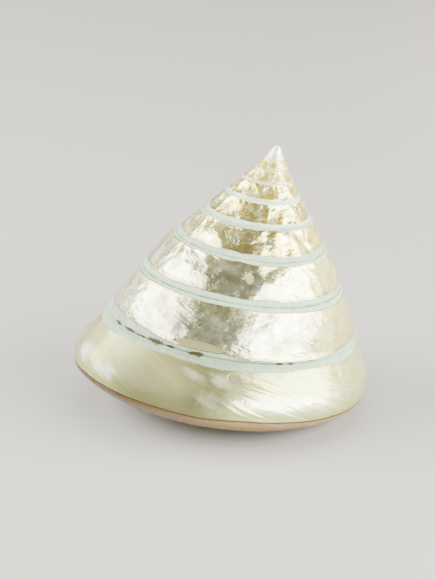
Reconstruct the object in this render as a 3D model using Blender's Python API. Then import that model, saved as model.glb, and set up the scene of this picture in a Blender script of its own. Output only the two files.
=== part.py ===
"""Pyramid top shell, cleaned and polished to its mother of pearl.

One grown solid. The wall follows a helicospiral law and its columns are growth lines,
so the lip is oblique. The body chamber runs three turns up inside, and the shell lies
in its own resting pose with the spire leaning.
"""

import math

import bmesh
import bpy
from mathutils import Vector

# growth law: depth and radius of the suture against the number of turns grown
SUTURE_DEPTH = 0.03703
GROWTH = 0.3034
SLOWING = 0.01235
SPREAD = 0.7724
SPREAD_LOSS = 0.1665
REFERENCE_DEPTH = 0.05
FACING = math.radians(2.96)

# how much of the spiral is grown
LIP_TURN = 1.767
OUTER_TURNS = 7.0
COLUMNS = 52
SHEAR_COLUMNS = 10
SHEAR = SHEAR_COLUMNS / COLUMNS
WALL_ROWS = 6
BASE_ROWS = 9

# early whorls stand a little taller than the law
TIP_RISE = 0.0012
TIP_REACH = 0.003
TIP_HEIGHT = 0.0006

# flared rim and rounded shoulder of the body whorl
RIM_START = 0.16
RIM_DROP_EARLY = 0.0108
RIM_DROP_LATE = 0.0196
RIM_WIDE_EARLY = -0.0126
RIM_WIDE_LATE = 0.0491
RIM_MIDDLE = 0.98
RIM_SPAN = 0.4
RIM_EARLIEST = -0.7
SHOULDER_RISE = 0.00276
SHOULDER_OUT = 0.0015
SHOULDER_FROM = 0.632
SHOULDER_ROW = 0.6

# swelling of the spire whorls between two sutures
SWELL = 0.085
SWELL_SLOPE = -0.0326
SWELL_BEND = -0.0300
SWELL_FULL = 0.5
SWELL_SHAPE = 0.35

# base, from the axis (share 0) to the rim (share 1)
CENTRE_TURN = 1.01
LEVEL_PULL = 1.6
LEAD = 0.05
LEAD_BEND = 1.5
BULGE = 0.0072
BULGE_REACH = 0.0086
CENTRE_BULGE = 0.0035
CENTRE_SHARE = 0.5
BASE_SPACING = 1.2
FULL_RADIUS = 0.030

# body chamber: wall thickness, where its corners sit, and the steps for reading the slope of a profile
WALL = 0.0017
WALL_LEAST = 0.0008
CALLUS = 0.0003
CALLUS_REACH = 0.06
COLUMELLA = 0.125
TUBE_TURNS = 3.0
TUBE_STEP = 2
TUBE_START = 0.003
TUBE_END = 0.03
CORNER_DROP = 0.35
CORNER_TUCK = 1.25
CORNER_SIGHT = 0.12
FLOOR_SETBACK = 2.2
CEILING_SHARE = 0.131
CEILING_SPACING = 0.9
WALL_SIGHT = 0.06
BASE_SIGHT = 0.02
RIM_SIGHT = 0.97

# resting pose: lean of the spire and depth worn off the contact patches
LEAN_RIGHT = math.radians(12.127)
LEAN_BACK = math.radians(1.940)
WORN = 0.00022
CUT_MERGE = 1e-7

SHARP_ANGLE = math.radians(38.0)


def smooth(x):
    """Ease from 0 to 1."""
    x = min(max(x, 0.0), 1.0)
    return x * x * (3.0 - 2.0 * x)


def mix(a, b, share):
    """Straight blend of two numbers."""
    return a + (b - a) * share


def suture(turn):
    """Depth below the apex and radius of the suture at a turn."""
    depth = SUTURE_DEPTH * math.exp(GROWTH * turn - SLOWING * turn * turn)
    radius = depth * (SPREAD - SPREAD_LOSS * (depth / REFERENCE_DEPTH) ** 2)
    return depth - TIP_RISE * math.exp(-depth / TIP_REACH), radius


def body_share(turn):
    """0 on the spire, 1 once the body whorl has its own rim."""
    return smooth((turn - (LIP_TURN - 1.0)) / RIM_START)


def rim(turn):
    """Depth and radius of the lower edge of a whorl."""
    depth, radius = suture(turn)
    share = body_share(turn)
    late = min(max((turn - RIM_MIDDLE) / RIM_SPAN, RIM_EARLIEST), 1.0)
    drop = mix(RIM_DROP_EARLY, RIM_DROP_LATE, late)
    wide = mix(RIM_WIDE_EARLY, RIM_WIDE_LATE, late)
    return depth * (1.0 - share * drop), radius * (1.0 + share * wide)


def wall_row(row):
    """Share of the way down the wall at a row, close-set beside the suture and the rim."""
    return 0.5 - 0.5 * math.cos(math.pi * row / WALL_ROWS)


def wall(column_turn, down):
    """Turn, depth and radius on the outer wall; down is 0 at the upper suture and 1 at the lower edge."""
    turn = column_turn - SHEAR * down
    top_depth, top_radius = suture(turn - 1.0)
    low_depth, low_radius = rim(turn)
    fall = low_depth - top_depth
    spread = low_radius - top_radius
    length = math.hypot(fall, spread)
    at = min(turn, SWELL_FULL)
    swell = max(0.0, SWELL + SWELL_SLOPE * at + SWELL_BEND * at * at)
    out = swell * length * max(0.0, math.sin(math.pi * down)) ** SWELL_SHAPE
    spire_depth = top_depth + fall * down - spread / length * out
    spire_radius = top_radius + spread * down + fall / length * out
    share = body_share(turn)
    if share == 0.0:
        return turn, spire_depth, spire_radius
    knee_depth = low_depth - SHOULDER_RISE
    knee_radius = low_radius + SHOULDER_OUT
    start_depth = mix(top_depth, knee_depth, SHOULDER_FROM)
    start_radius = mix(top_radius, knee_radius, SHOULDER_FROM)
    if down < SHOULDER_ROW:
        part = down / SHOULDER_ROW
        body_depth = mix(top_depth, start_depth, part)
        body_radius = mix(top_radius, start_radius, part)
    else:
        part = (down - SHOULDER_ROW) / (1.0 - SHOULDER_ROW)
        early = (1.0 - part) ** 2
        middle = 2.0 * part * (1.0 - part)
        late = part * part
        body_depth = early * start_depth + middle * knee_depth + late * low_depth
        body_radius = early * start_radius + middle * knee_radius + late * low_radius
    return turn, mix(spire_depth, body_depth, share), mix(spire_radius, body_radius, share)


def level(share):
    """How far the base follows the climb of the rim at a share of its radius."""
    return 1.0 - (1.0 - share) * math.exp(-LEVEL_PULL * share)


def lead(share):
    """Turns by which a growth line on the base runs ahead of its end at the rim."""
    return LEAD * (1.0 - share) ** LEAD_BEND


def base(turn, share):
    """Depth and radius on the base at a share of the rim's radius."""
    rim_depth, rim_radius = rim(turn)
    start = LIP_TURN - 1.0
    centre_depth = suture(CENTRE_TURN)[0]
    if turn < start:
        centre_depth *= suture(turn)[0] / suture(start)[0]
    follow = level(share)
    scale = min(1.0, rim_radius / FULL_RADIUS)
    inward = (1.0 - share) * rim_radius
    bulge = BULGE * (1.0 - math.exp(-inward / (BULGE_REACH * scale))) * scale
    bulge *= 1.0 - (1.0 - CENTRE_BULGE / BULGE) * smooth((CENTRE_SHARE - share) / CENTRE_SHARE)
    return mix(centre_depth, rim_depth, follow) + bulge, share * rim_radius


def place_on_base(turn, share, lowered=0.0):
    """Point of the base on the growth line that ends at a turn of the rim."""
    depth, radius = base(turn, share)
    return place(turn + lead(share), depth + lowered, radius)


def place(turn, depth, radius):
    """Point in the shell's own axes, apex at the origin and the axis along Z."""
    azimuth = FACING - 2.0 * math.pi * turn
    return Vector((radius * math.cos(azimuth), radius * math.sin(azimuth), -depth))


def thickness(turn):
    """Wall thickness, in proportion to the whorl."""
    return max(WALL_LEAST, WALL * suture(turn)[1] / suture(LIP_TURN - SHEAR)[1])


def inward_point(turn, here, before, after, thick):
    """Point moved in from the outer surface, square to the profile running from before to after."""
    fall = after[0] - before[0]
    spread = after[1] - before[1]
    length = math.hypot(fall, spread)
    return place(turn, here[0] + spread / length * thick, here[1] - fall / length * thick)


def tube_ring(inside):
    """Ring of the body chamber, some turns in from the lip, in the order of the aperture's outline."""
    low_turn = LIP_TURN - SHEAR - inside
    top_turn = LIP_TURN - inside
    thick = thickness(low_turn)
    callus = CALLUS * smooth(inside / CALLUS_REACH)
    top_depth, top_radius = suture(top_turn - 1.0)
    _, near_depth, near_radius = wall(top_turn, CORNER_SIGHT)
    slope = math.atan2(near_radius - top_radius, near_depth - top_depth)
    tuck = CORNER_TUCK * (thick - callus * math.sin(slope)) / math.cos(slope)
    corner_radius = top_radius - tuck
    points = [place(top_turn, top_depth + callus + CORNER_DROP * thick, corner_radius)]
    for row in range(1, WALL_ROWS + 1):
        down = wall_row(row)
        turn, depth, radius = wall(top_turn, down)
        before = wall(top_turn, down - WALL_SIGHT)[1:]
        after = wall(top_turn, down + WALL_SIGHT)[1:] if row < WALL_ROWS else base(low_turn, RIM_SIGHT)
        points.append(inward_point(turn, (depth, radius), before, after, thick))
    outer_share = 1.0 - FLOOR_SETBACK * thick / rim(low_turn)[1]
    for row in range(BASE_ROWS):
        share = mix(outer_share, COLUMELLA, row / (BASE_ROWS - 1))
        here = base(low_turn, share)
        before = base(low_turn, share + BASE_SIGHT)
        after = base(low_turn, share - BASE_SIGHT)
        points.append(inward_point(low_turn + lead(share), here, before, after, thick))
    corner_share = corner_radius / rim(top_turn - 1.0)[1]
    for row in range(BASE_ROWS - 1, 0, -1):
        share = mix(corner_share, CEILING_SHARE, (row / BASE_ROWS) ** CEILING_SPACING)
        points.append(place_on_base(top_turn - 1.0, share, callus))
    return points


def add_patch(points, faces, a, b, c, d):
    """Two triangles for a patch, split along its shorter diagonal."""
    if (points[a] - points[c]).length <= (points[b] - points[d]).length:
        faces.append((a, b, c))
        faces.append((a, c, d))
    else:
        faces.append((a, b, d))
        faces.append((b, c, d))


def outer_wall(points, faces):
    """Lattice of growth lines from the tip to the lip; returns the point numbers by column and row."""
    count = round(OUTER_TURNS * COLUMNS)
    jump = COLUMNS - SHEAR_COLUMNS
    lattice = []
    for column in range(count + 1):
        turn = LIP_TURN - (count - column) / COLUMNS
        numbers = []
        for row in range(WALL_ROWS + 1):
            if row == 0 and column >= jump:
                numbers.append(lattice[column - jump][WALL_ROWS])
                continue
            numbers.append(len(points))
            points.append(place(*wall(turn, wall_row(row))))
        lattice.append(numbers)
    for left, right in zip(lattice, lattice[1:]):
        for row in range(WALL_ROWS):
            add_patch(points, faces, left[row], right[row], right[row + 1], left[row + 1])
    loop = [lattice[column][0] for column in range(jump + 1)]
    loop += [lattice[0][row] for row in range(WALL_ROWS - 1, 0, -1)]
    tip = len(points)
    points.append(Vector((0.0, 0.0, TIP_HEIGHT)))
    for k, number in enumerate(loop):
        faces.append((tip, loop[(k + 1) % len(loop)], number))
    return lattice


def shell_base(points, faces, lattice):
    """Base from the parietal line round to the basal lip; returns the point numbers by column and row."""
    jump = COLUMNS - SHEAR_COLUMNS
    first = len(lattice) - 1 - jump
    centre = len(points)
    points.append(Vector((0.0, 0.0, -base(CENTRE_TURN, 0.0)[0])))
    lattice_base = []
    for column in range(jump + 1):
        turn = LIP_TURN - 1.0 + column / COLUMNS
        numbers = [lattice[first + column][WALL_ROWS]]
        for row in range(1, BASE_ROWS):
            numbers.append(len(points))
            points.append(place_on_base(turn, 1.0 - (row / BASE_ROWS) ** BASE_SPACING))
        numbers.append(centre)
        lattice_base.append(numbers)
    for left, right in zip(lattice_base, lattice_base[1:]):
        for row in range(BASE_ROWS - 1):
            add_patch(points, faces, left[row], right[row], right[row + 1], left[row + 1])
        faces.append((left[BASE_ROWS - 1], right[BASE_ROWS - 1], centre))
    return lattice_base


def body_chamber(points, faces, outline):
    """Spiral cavity from the aperture's outline to a closed end."""
    steps = round(TUBE_TURNS * COLUMNS / TUBE_STEP)
    before = outline
    for step in range(steps + 1):
        ring = tube_ring(max(TUBE_START, step * TUBE_STEP / COLUMNS))
        numbers = list(range(len(points), len(points) + len(ring)))
        points.extend(ring)
        for k in range(len(numbers)):
            after = (k + 1) % len(numbers)
            add_patch(points, faces, before[k], numbers[k], numbers[after], before[after])
        before = numbers
    end_ring = tube_ring(TUBE_TURNS + TUBE_END)
    end = len(points)
    points.append(sum(end_ring, Vector()) / len(end_ring))
    for k, number in enumerate(before):
        faces.append((before[(k + 1) % len(before)], number, end))


def lay_down(points):
    """Turn the shell into its resting pose, with its contact patches just below the floor."""
    axis = Vector((math.tan(LEAN_RIGHT), math.tan(LEAN_BACK), 1.0)).normalized()
    across = Vector((1.0, 0.0, 0.0))
    across = (across - axis * across.dot(axis)).normalized()
    back = axis.cross(across)
    turned = [across * p.x + back * p.y + axis * p.z for p in points]
    low = Vector((min(p.x for p in turned), min(p.y for p in turned), min(p.z for p in turned)))
    high = Vector((max(p.x for p in turned), max(p.y for p in turned), 0.0))
    shift = Vector(((low.x + high.x) / 2.0, (low.y + high.y) / 2.0, low.z + WORN))
    return [p - shift for p in turned]


def wear_flat(mesh):
    """Cut the lowest places of the base off at the floor."""
    work = bmesh.new()
    work.from_mesh(mesh)
    geometry = list(work.verts) + list(work.edges) + list(work.faces)
    bmesh.ops.bisect_plane(
        work,
        geom=geometry,
        dist=CUT_MERGE,
        plane_co=(0.0, 0.0, 0.0),
        plane_no=(0.0, 0.0, -1.0),
        clear_outer=True,
    )
    rims = [edge for edge in work.edges if edge.is_boundary]
    bmesh.ops.holes_fill(work, edges=rims, sides=0)
    bmesh.ops.recalc_face_normals(work, faces=list(work.faces))
    work.to_mesh(mesh)
    work.free()


def shell_material():
    """Plain mother of pearl."""
    material = bpy.data.materials.new("nacre")
    material.use_nodes = True
    shader = material.node_tree.nodes["Principled BSDF"]
    shader.inputs["Base Color"].default_value = (0.76, 0.74, 0.66, 1.0)
    shader.inputs["Roughness"].default_value = 0.25
    return material


def main():
    """Build the shell."""
    for item in list(bpy.data.objects):
        bpy.data.objects.remove(item, do_unlink=True)
    points = []
    faces = []
    lattice = outer_wall(points, faces)
    lattice_base = shell_base(points, faces, lattice)
    outline = list(lattice[-1])
    outline += lattice_base[-1][1:]
    outline += [lattice_base[0][row] for row in range(BASE_ROWS - 1, 0, -1)]
    body_chamber(points, faces, outline)
    mesh = bpy.data.meshes.new("shell")
    mesh.from_pydata([tuple(p) for p in lay_down(points)], [], faces)
    mesh.update()
    wear_flat(mesh)
    mesh.shade_smooth()
    mesh.set_sharp_from_angle(angle=SHARP_ANGLE)
    mesh.materials.append(shell_material())
    shell = bpy.data.objects.new("shell", mesh)
    collection = bpy.data.collections.new("pyramid top shell")
    bpy.context.scene.collection.children.link(collection)
    collection.objects.link(shell)


main()
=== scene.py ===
"""Polished pyramid top shell on a pale floor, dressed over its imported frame.

The wall follows the shell's growth law in a Geometry Nodes tree. The base, the lip and the body
chamber follow the same law in mesh code, and all of it is joined into one closed piece.
"""

import logging
import math
from dataclasses import dataclass, field
from enum import Enum
from typing import Callable, Union

import bpy
import numpy as np
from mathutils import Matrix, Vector


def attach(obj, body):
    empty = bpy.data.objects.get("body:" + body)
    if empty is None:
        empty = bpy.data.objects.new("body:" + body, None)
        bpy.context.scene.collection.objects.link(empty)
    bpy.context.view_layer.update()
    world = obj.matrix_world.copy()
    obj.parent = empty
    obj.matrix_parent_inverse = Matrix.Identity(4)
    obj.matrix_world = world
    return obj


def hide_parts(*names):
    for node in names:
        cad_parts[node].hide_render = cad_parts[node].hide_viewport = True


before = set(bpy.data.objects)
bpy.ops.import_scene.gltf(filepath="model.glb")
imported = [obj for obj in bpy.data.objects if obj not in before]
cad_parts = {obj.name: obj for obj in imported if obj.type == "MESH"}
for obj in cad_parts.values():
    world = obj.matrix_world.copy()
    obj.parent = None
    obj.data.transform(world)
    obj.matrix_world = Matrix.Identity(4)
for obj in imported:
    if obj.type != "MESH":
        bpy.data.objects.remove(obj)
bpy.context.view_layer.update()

log = logging.getLogger("shell")

MM = 0.001
WALL_UV = "spiral"
SEAM_UV = "seam"


def operator(operation: str, swapped: bool = False) -> Callable[["Field", "Value"], "Field"]:
    """Method that joins a Field and another number by a Math operation.

    Args:
        operation: name of the Math operation.
        swapped: whether the other number comes first.

    Returns:
        The method.
    """
    def method(self: "Field", other: "Value") -> "Field":
        """Result of the operation."""
        return work(self.tree, operation, *((other, self) if swapped else (self, other)))
    return method


@dataclass(frozen=True)
class Field:
    """Number carried by a node socket, which adds and multiplies as a plain number does."""

    tree: bpy.types.NodeTree
    socket: bpy.types.NodeSocket

    __add__ = operator("ADD")
    __radd__ = operator("ADD", swapped=True)
    __sub__ = operator("SUBTRACT")
    __rsub__ = operator("SUBTRACT", swapped=True)
    __mul__ = operator("MULTIPLY")
    __rmul__ = operator("MULTIPLY", swapped=True)
    __truediv__ = operator("DIVIDE")
    __rtruediv__ = operator("DIVIDE", swapped=True)
    __pow__ = operator("POWER")


Value = Union[float, np.ndarray, Field]
Colour = tuple[float, float, float]
Span = tuple[float, float]
Line = tuple[Span, ...]
Grain = tuple[float, float, float]


def feed(tree: bpy.types.NodeTree, socket: bpy.types.NodeSocket, value: object) -> None:
    """Give an input socket its value.

    Args:
        tree: node tree that holds the socket.
        socket: input to fill.
        value: Field or output socket to link, or a plain value.
    """
    if isinstance(value, Field):
        tree.links.new(value.socket, socket)
    elif isinstance(value, bpy.types.NodeSocket):
        tree.links.new(value, socket)
    else:
        socket.default_value = value


def work(tree: bpy.types.NodeTree, operation: str, *values: Value) -> Field:
    """Result of a new Math node.

    Args:
        tree: node tree to add to.
        operation: name of the Math operation.
        values: its numbers in order.

    Returns:
        The result.
    """
    node = tree.nodes.new("ShaderNodeMath")
    node.operation = operation
    for socket, value in zip(node.inputs, values):
        feed(tree, socket, value)
    return Field(tree, node.outputs[0])


def either(operation: str, plain: Callable[..., np.ndarray]) -> Callable[..., Value]:
    """Function that adds a Math node for a Field, and works out any other number at once.

    Args:
        operation: name of the Math operation.
        plain: numpy function that does the same.

    Returns:
        The function.
    """
    def function(x: Value, *others: Value) -> Value:
        """Result of the operation."""
        return work(x.tree, operation, x, *others) if isinstance(x, Field) else plain(x, *others)
    return function


exp = either("EXPONENT", np.exp)
sin = either("SINE", np.sin)
cos = either("COSINE", np.cos)
root = either("SQRT", np.sqrt)
least = either("MINIMUM", np.minimum)
most = either("MAXIMUM", np.maximum)


def held(x: Value) -> Value:
    """Number held between 0 and 1."""
    return least(most(x, 0.0), 1.0)


def smooth(x: Value) -> Value:
    """Ease from 0 to 1."""
    x = held(x)
    return x * x * (3.0 - 2.0 * x)


def step(x: Value, low: Value, high: Value) -> Value:
    """Ease from 0 to 1 between two numbers."""
    return smooth((x - low) / (high - low))


def mix(a: Value, b: Value, share: Value) -> Value:
    """Straight blend of two numbers."""
    return a + (b - a) * share


def bell(x: Value, reach: Value) -> Value:
    """Hump of height 1 at zero, with the given reach."""
    part = x / reach
    return exp(-1.0 * (part * part))


@dataclass(frozen=True)
class GrowthLaw:
    """Rule that the whole shell follows, in metres and turns; depth is measured down from the apex."""

    suture_depth: Value = 0.03703
    growth: Value = 0.3034
    slowing: Value = 0.01235
    spread: Value = 0.7724
    spread_loss: Value = 0.1665
    reference_depth: Value = 0.05
    facing: Value = math.radians(2.96)
    lip_turn: Value = 1.767
    shear: Value = 10.0 / 52.0
    tip_rise: Value = 0.0012
    tip_reach: Value = 0.003
    rim_start: Value = 0.16
    rim_drop_early: Value = 0.0108
    rim_drop_late: Value = 0.0196
    rim_wide_early: Value = -0.0126
    rim_wide_late: Value = 0.0491
    rim_middle: Value = 0.98
    rim_span: Value = 0.4
    rim_earliest: Value = -0.7
    shoulder_rise: Value = 0.00276
    shoulder_out: Value = 0.0015
    shoulder_from: Value = 0.632
    shoulder_row: Value = 0.6
    swell: Value = 0.085
    swell_slope: Value = -0.0326
    swell_bend: Value = -0.0300
    swell_full: Value = 0.5
    swell_shape: Value = 0.35

    def suture(self, turn: Value) -> tuple[Value, Value]:
        """Depth and radius of the suture at a turn."""
        depth = self.suture_depth * exp(self.growth * turn - self.slowing * turn * turn)
        part = depth / self.reference_depth
        radius = depth * (self.spread - self.spread_loss * part * part)
        return depth - self.tip_rise * exp(-1.0 * depth / self.tip_reach), radius

    def body_share(self, turn: Value) -> Value:
        """0 on the spire, 1 once the body whorl has its own rim."""
        return smooth((turn - (self.lip_turn - 1.0)) / self.rim_start)

    def rim(self, turn: Value) -> tuple[Value, Value]:
        """Depth and radius of the lower edge of a whorl at a turn."""
        depth, radius = self.suture(turn)
        share = self.body_share(turn)
        late = least(most((turn - self.rim_middle) / self.rim_span, self.rim_earliest), 1.0)
        drop = mix(self.rim_drop_early, self.rim_drop_late, late)
        wide = mix(self.rim_wide_early, self.rim_wide_late, late)
        return depth * (1.0 - share * drop), radius * (1.0 + share * wide)

    def wall(self, column_turn: Value, down: Value) -> tuple[Value, Value, Value, Value]:
        """Place on the outer wall.

        Args:
            column_turn: turn at which the growth line leaves the upper suture.
            down: 0 at the upper suture and 1 at the lower edge.

        Returns:
            Turn, depth, radius and the height of the whorl's wall.
        """
        turn = column_turn - self.shear * down
        top_depth, top_radius = self.suture(turn - 1.0)
        low_depth, low_radius = self.rim(turn)
        fall = low_depth - top_depth
        spread = low_radius - top_radius
        length = root(fall * fall + spread * spread)
        at = least(turn, self.swell_full)
        swell = most(self.swell + self.swell_slope * at + self.swell_bend * at * at, 0.0)
        out = swell * length * most(sin(math.pi * down), 0.0) ** self.swell_shape
        spire_depth = top_depth + fall * down - spread / length * out
        spire_radius = top_radius + spread * down + fall / length * out
        knee_depth = low_depth - self.shoulder_rise
        knee_radius = low_radius + self.shoulder_out
        start_depth = mix(top_depth, knee_depth, self.shoulder_from)
        start_radius = mix(top_radius, knee_radius, self.shoulder_from)
        part = held(down / self.shoulder_row)
        bend = held((down - self.shoulder_row) / (1.0 - self.shoulder_row))
        early = (1.0 - bend) * (1.0 - bend) - 1.0
        middle = 2.0 * bend * (1.0 - bend)
        late = bend * bend
        body_depth = mix(top_depth, start_depth, part)
        body_depth = body_depth + early * start_depth + middle * knee_depth + late * low_depth
        body_radius = mix(top_radius, start_radius, part)
        body_radius = body_radius + early * start_radius + middle * knee_radius + late * low_radius
        share = self.body_share(turn)
        return turn, mix(spire_depth, body_depth, share), mix(spire_radius, body_radius, share), length

    def place(self, turn: Value, depth: Value, radius: Value) -> tuple[Value, Value, Value]:
        """Point in the shell's own axes, apex at the origin and the axis along Z."""
        azimuth = self.facing - 2.0 * math.pi * turn
        return radius * cos(azimuth), radius * sin(azimuth), -1.0 * depth


@dataclass(frozen=True)
class BaseLaw:
    """Shape of the base between the axis (share 0) and the rim (share 1)."""

    growth: GrowthLaw
    centre_turn: float = 1.01
    level_pull: float = 1.6
    lead: float = 0.05
    lead_bend: float = 1.5
    bulge: float = 0.0072
    bulge_reach: float = 0.0086
    centre_bulge: float = 0.0035
    centre_share: float = 0.5
    full_radius: float = 0.030

    def level(self, share: Value) -> Value:
        """How far the base follows the climb of the rim at a share of its radius."""
        return 1.0 - (1.0 - share) * np.exp(-self.level_pull * share)

    def ahead(self, share: Value) -> Value:
        """Turns by which a growth line on the base runs ahead of its end at the rim."""
        return self.lead * np.maximum(1.0 - share, 0.0) ** self.lead_bend

    def surface(self, turn: Value, share: Value) -> tuple[Value, Value]:
        """Depth and radius on the base.

        Args:
            turn: turn of the rim where the growth line ends.
            share: share of the rim's radius.

        Returns:
            Depth and radius.
        """
        rim_depth, rim_radius = self.growth.rim(turn)
        start = self.growth.lip_turn - 1.0
        centre_depth = self.growth.suture(self.centre_turn)[0]
        earlier = self.growth.suture(turn)[0] / self.growth.suture(start)[0]
        centre_depth = centre_depth * np.where(turn < start, earlier, 1.0)
        scale = np.minimum(1.0, rim_radius / self.full_radius)
        inward = (1.0 - share) * rim_radius
        bulge = self.bulge * (1.0 - np.exp(-inward / (self.bulge_reach * scale))) * scale
        hollow = smooth((self.centre_share - share) / self.centre_share)
        bulge = bulge * (1.0 - (1.0 - self.centre_bulge / self.bulge) * hollow)
        return mix(centre_depth, rim_depth, self.level(share)) + bulge, share * rim_radius

    def points(self, turn: Value, share: Value, lowered: float = 0.0) -> np.ndarray:
        """Points of the base on the growth lines that end at a turn of the rim."""
        depth, radius = self.surface(turn, share)
        turn = turn + self.ahead(share)
        return np.stack(self.growth.place(turn, depth + lowered, radius), -1)


@dataclass(frozen=True)
class Relief:
    """Low forms of the worked surface, in metres; they stand out along the cone's slope."""

    slope: Value = math.radians(35.0)
    seam_fill: Value = 0.00045
    seam_reach: Value = 0.0008
    seam_groove: Value = 0.00010
    groove_reach: Value = 0.00016
    full_whorl: Value = 0.014
    lump: Value = 0.00022
    lump_size: Value = 0.0034
    facet: Value = 0.00090
    facet_from: Value = 0.0300
    facet_reach: Value = 0.0070
    tip_fill: Value = 0.00022
    tip_fill_reach: Value = 0.0045


class NodeBench:
    """Short names for the nodes that a tree is made of."""

    def __init__(self, tree: bpy.types.NodeTree) -> None:
        """Work on one tree.

        Args:
            tree: node tree to add to.
        """
        self.tree = tree

    def node(self, kind: str, **settings: object) -> bpy.types.Node:
        """Add a node and set its options."""
        made = self.tree.nodes.new(kind)
        for name, value in settings.items():
            setattr(made, name, value)
        return made

    def vector(self, x: Value, y: Value, z: Value = 0.0) -> bpy.types.NodeSocket:
        """Vector from three numbers."""
        made = self.node("ShaderNodeCombineXYZ")
        for socket, value in zip(made.inputs, (x, y, z)):
            feed(self.tree, socket, value)
        return made.outputs[0]

    def parts(self, vector: bpy.types.NodeSocket) -> list[Field]:
        """The three numbers of a vector."""
        made = self.node("ShaderNodeSeparateXYZ")
        self.tree.links.new(vector, made.inputs[0])
        return [Field(self.tree, socket) for socket in made.outputs]

    def noise(self, vector: bpy.types.NodeSocket, scale: Value, detail: float = 2.0,
              roughness: float = 0.5) -> Field:
        """Smooth noise from 0 to 1, about 0.5 on average."""
        made = self.node("ShaderNodeTexNoise")
        self.tree.links.new(vector, made.inputs["Vector"])
        feed(self.tree, made.inputs["Scale"], scale)
        made.inputs["Detail"].default_value = detail
        made.inputs["Roughness"].default_value = roughness
        return Field(self.tree, made.outputs[0])

    def cells(self, vector: bpy.types.NodeSocket, smoothness: float = 0.25) -> Field:
        """Distance to the nearest of scattered points, softened into facets."""
        made = self.node("ShaderNodeTexVoronoi", feature="SMOOTH_F1")
        self.tree.links.new(vector, made.inputs["Vector"])
        made.inputs["Scale"].default_value = 1.0
        made.inputs["Smoothness"].default_value = smoothness
        return Field(self.tree, made.outputs["Distance"])

    def curve(self, x: Field, pairs: Line, full: float) -> Field:
        """Number read off a line through pairs of numbers.

        Args:
            x: number in the range of the pairs' first numbers.
            pairs: points of the line in order.
            full: number above all of the pairs' second numbers.

        Returns:
            The number at x.
        """
        low = pairs[0][0]
        high = pairs[-1][0]
        made = self.node("ShaderNodeFloatCurve")
        points = made.mapping.curves[0].points
        while len(points) < len(pairs):
            points.new(0.5, 0.5)
        for point, (at, value) in zip(points, pairs):
            point.location = ((at - low) / (high - low), value / full)
            point.handle_type = "VECTOR"
        made.mapping.update()
        feed(self.tree, made.inputs["Value"], (x - low) / (high - low))
        return Field(self.tree, made.outputs[0]) * full

    def blend(self, share: Value, first: object, second: object) -> bpy.types.NodeSocket:
        """Blend of two colours, each a socket or three numbers."""
        made = self.node("ShaderNodeMix", data_type="RGBA", clamp_factor=True)
        feed(self.tree, made.inputs["Factor"], share)
        sockets = [socket for socket in made.inputs if socket.type == "RGBA"]
        for socket, value in zip(sockets, (first, second)):
            if isinstance(value, tuple):
                value = (*value, 1.0)
            feed(self.tree, socket, value)
        return [socket for socket in made.outputs if socket.type == "RGBA"][0]

    def uv(self, name: str) -> bpy.types.NodeSocket:
        """One of the piece's own UV maps."""
        return self.node("ShaderNodeUVMap", uv_map=name).outputs[0]

    def place(self) -> bpy.types.NodeSocket:
        """Place on the object."""
        return self.node("ShaderNodeTexCoord").outputs["Object"]

    def use(self, group: bpy.types.NodeTree) -> dict[str, object]:
        """Outputs of a group by name: numbers as Fields and colours as sockets."""
        made = self.node("ShaderNodeGroup", node_tree=group)
        return {s.name: s if s.type == "RGBA" else Field(self.tree, s) for s in made.outputs}

    def put_out(self, **values: object) -> bpy.types.NodeTree:
        """End the group with its outputs: a Field is a number, and any other socket a colour.

        Args:
            values: value of each output by its name.

        Returns:
            The group.
        """
        for name, value in values.items():
            kind = "Float" if isinstance(value, Field) else "Color"
            self.tree.interface.new_socket(name=name, in_out="OUTPUT", socket_type=f"NodeSocket{kind}")
        end = self.node("NodeGroupOutput")
        for name, value in values.items():
            feed(self.tree, end.inputs[name], value)
        return self.tree


def new_group(name: str) -> NodeBench:
    """Bench in a new group of shader nodes."""
    return NodeBench(bpy.data.node_groups.new(name, "ShaderNodeTree"))


def surface(name: str, bench_use: Callable[[NodeBench], dict[str, object]]) -> bpy.types.Material:
    """Material with one Principled shader.

    Args:
        name: name of the material.
        bench_use: adds the nodes and gives the value of each of the shader's sockets by name, and
            with Height the height in metres.

    Returns:
        The material.
    """
    material = bpy.data.materials.new(name)
    material.use_nodes = True
    bench = NodeBench(material.node_tree)
    shader = bench.tree.nodes["Principled BSDF"]
    sockets = bench_use(bench)
    if "Height" in sockets:
        bump = bench.node("ShaderNodeBump")
        bump.inputs["Distance"].default_value = 1.0
        feed(bench.tree, bump.inputs["Height"], sockets.pop("Height"))
        sockets["Normal"] = bump.outputs[0]
    for socket, value in sockets.items():
        feed(bench.tree, shader.inputs[socket], value)
    return material


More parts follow.
